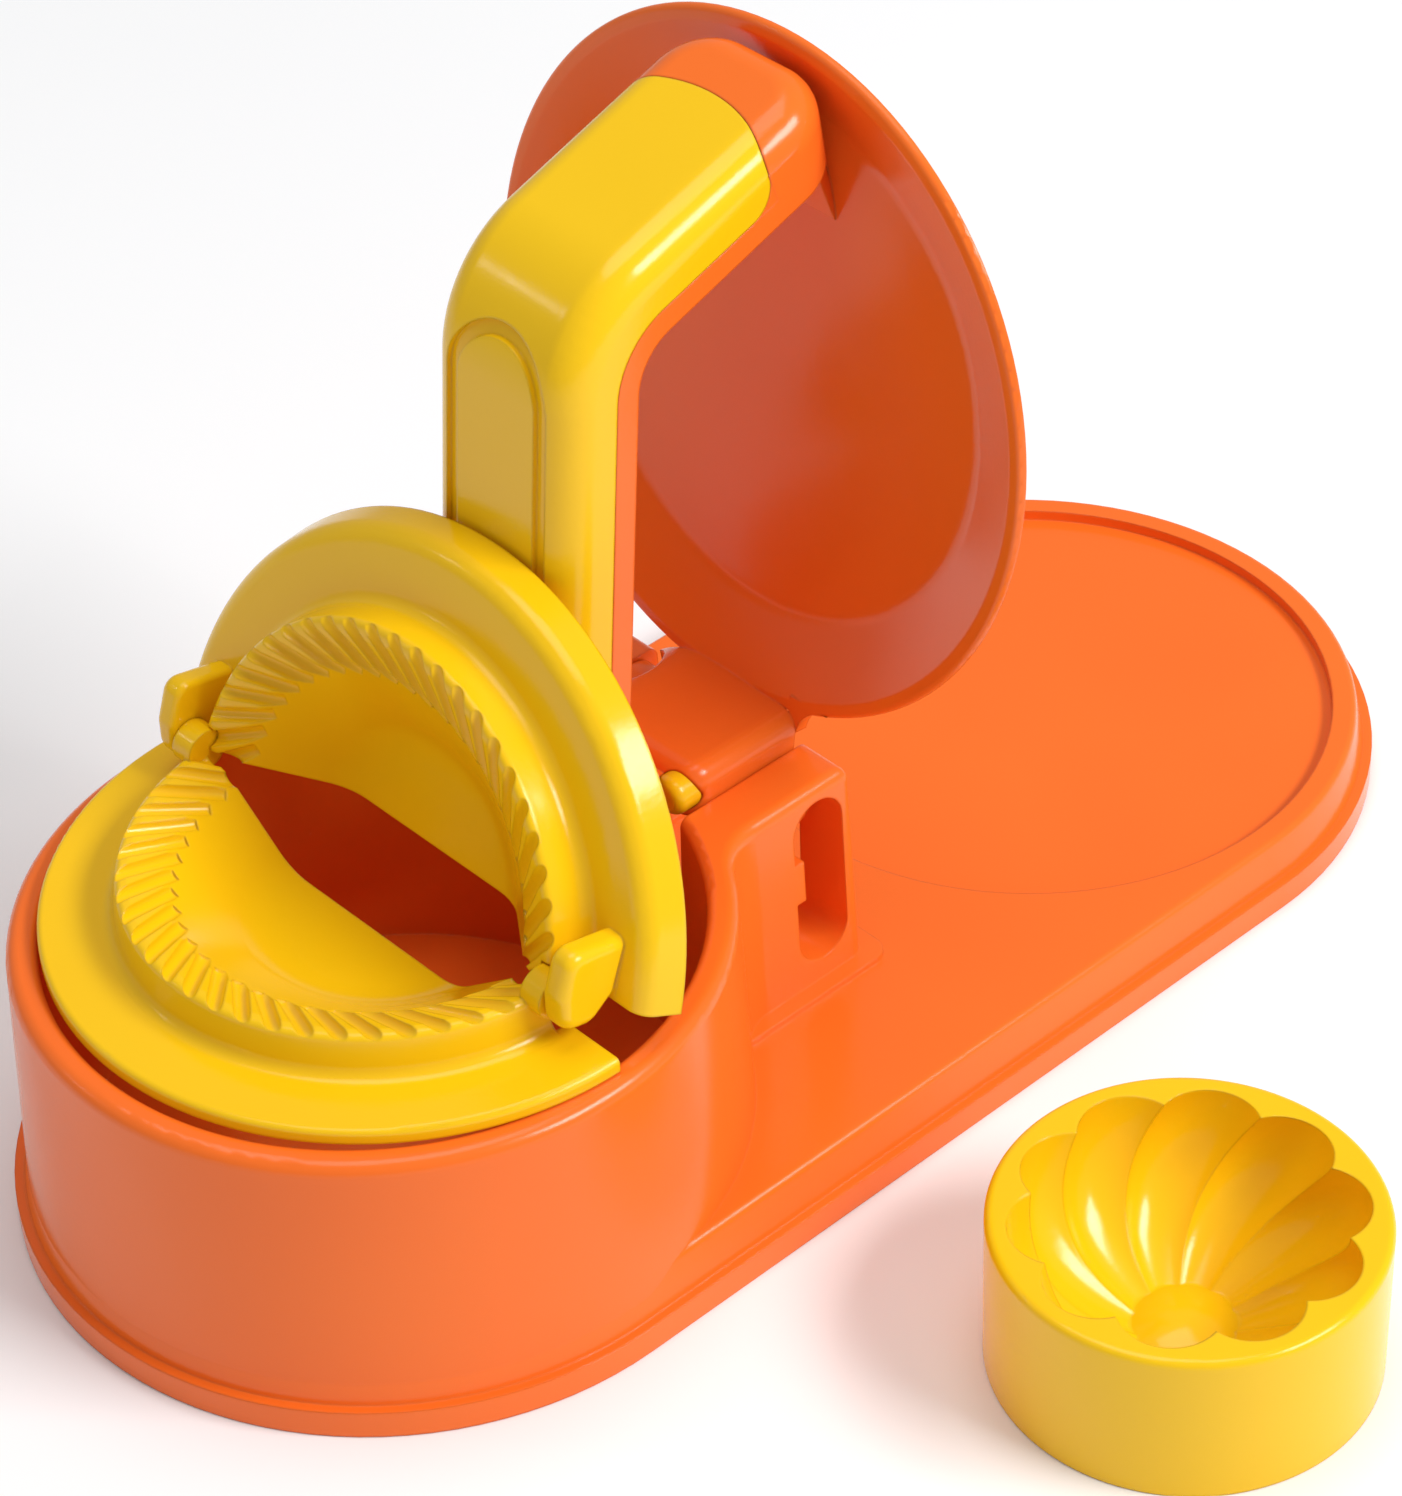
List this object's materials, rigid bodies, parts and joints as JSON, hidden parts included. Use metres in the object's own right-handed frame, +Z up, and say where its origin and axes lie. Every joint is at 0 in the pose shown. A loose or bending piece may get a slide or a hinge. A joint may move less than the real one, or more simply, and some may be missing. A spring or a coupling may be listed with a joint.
{
  "type": "empanada press",
  "caption": "Tabletop press for filled dough: cup with a folding crimping mould, hinged lid that presses dough flat on a plate, and a loose flower mould.",
  "frame": {"origin": "under the centre of the cup, on the plane that the base stands on", "axes": "+X from the cup to the press plate, along the base; +Z up; Y across, with the loose flower mould on the -Y side"},
  "size_m": [0.2642, 0.2065, 0.1679],
  "materials": {
    "orange_plastic": "glossy",
    "yellow_plastic": "glossy"
  },
  "bodies": {
    "base": {"base_housing": "orange_plastic"},
    "pin": {"hinge_pin": "orange_plastic"},
    "lid": {"press_lid": "orange_plastic", "grip_cover": "yellow_plastic", "push_peg": "yellow_plastic"},
    "front_half": {"front_mould_half": "yellow_plastic"},
    "rear_half": {"rear_mould_half": "yellow_plastic"},
    "flower": {"flower_mould": "yellow_plastic"}
  },
  "joints": [
    {"name": "lid_hinge", "type": "hinge", "parent": "pin", "child": "lid", "pos_m": [0.06905, 0, 0.0436], "axis": [0, 1, 0], "range_deg": [0, 81.9]},
    {"name": "pin_slide", "type": "slide", "parent": "base", "child": "pin", "axis": [0, 0, -1], "range_m": [0, 0.0205]},
    {"name": "rear_half_hinge", "type": "hinge", "parent": "front_half", "child": "rear_half", "pos_m": [0, 0, 0.0614], "axis": [0, -1, 0], "range_deg": [0, 107]},
    {"name": "mould_lift", "type": "slide", "parent": "base", "child": "front_half", "axis": [0, 0, 1], "range_m": [0, 0.03]},
    {"name": "flower_lift", "type": "slide", "parent": "base", "child": "flower", "axis": [0, 0, 1], "range_m": [0, 0.03]}
  ],
  "couplings": [
    {"joint": "pin_slide", "follows": "lid_hinge", "m_per_rad": 0.01434}
  ]
}
